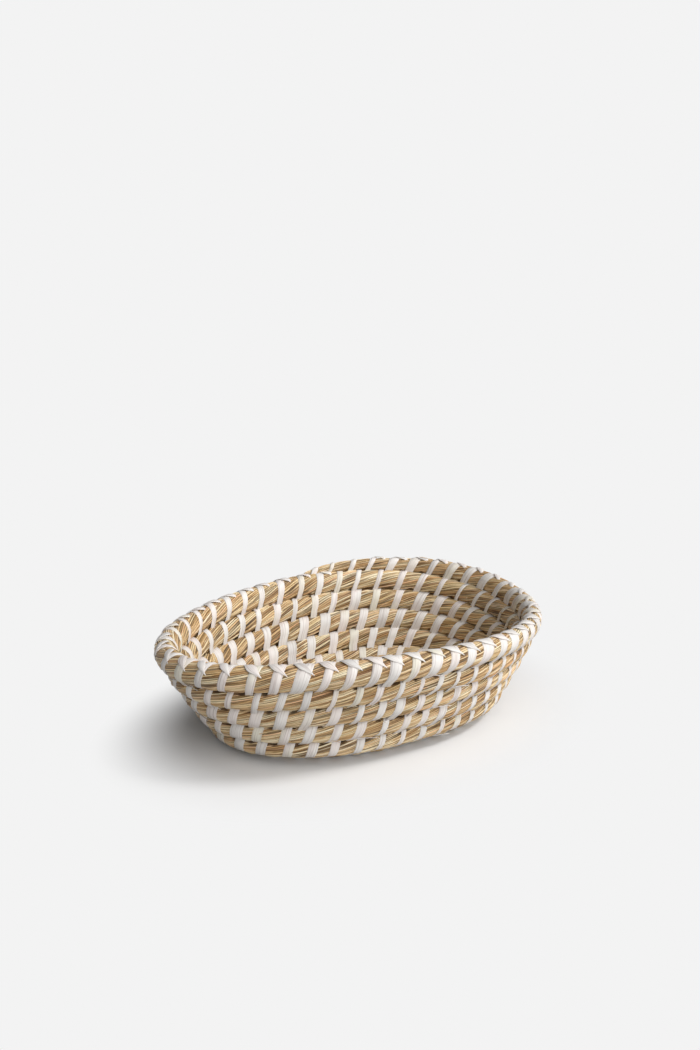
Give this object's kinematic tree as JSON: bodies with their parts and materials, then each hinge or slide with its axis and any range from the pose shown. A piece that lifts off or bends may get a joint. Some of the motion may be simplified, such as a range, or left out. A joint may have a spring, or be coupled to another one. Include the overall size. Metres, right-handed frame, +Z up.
{
  "type": "coiled oval basket",
  "caption": "Open oval basket, coiled from one grass bundle and sewn with flat pale strips, with crossed stitches on the rim. It holds bread, fruit or small things.",
  "frame": {"origin": "middle of the basket's outline, on the surface that it stands on", "axes": "+X along the basket's long way, towards its thinner end; +Y across it, towards the side where the coil ends; +Z up out of the mouth"},
  "size_m": [0.2648, 0.19, 0.075],
  "materials": {
    "grass": "dried grass stems, satin, with fine ridges along the bundle",
    "strip": "bleached leaf strip, matte to satin, with creases along it"
  },
  "bodies": {
    "root": {"grass_coil": "grass", "base_strip_1": "strip", "base_strip_2": "strip", "base_strip_3": "strip", "wall_strip_1": "strip", "wall_strip_2": "strip", "wall_strip_3": "strip", "wall_strip_4": "strip", "rim_strip": "strip", "rim_cross_strip": "strip"}
  },
  "joints": []
}
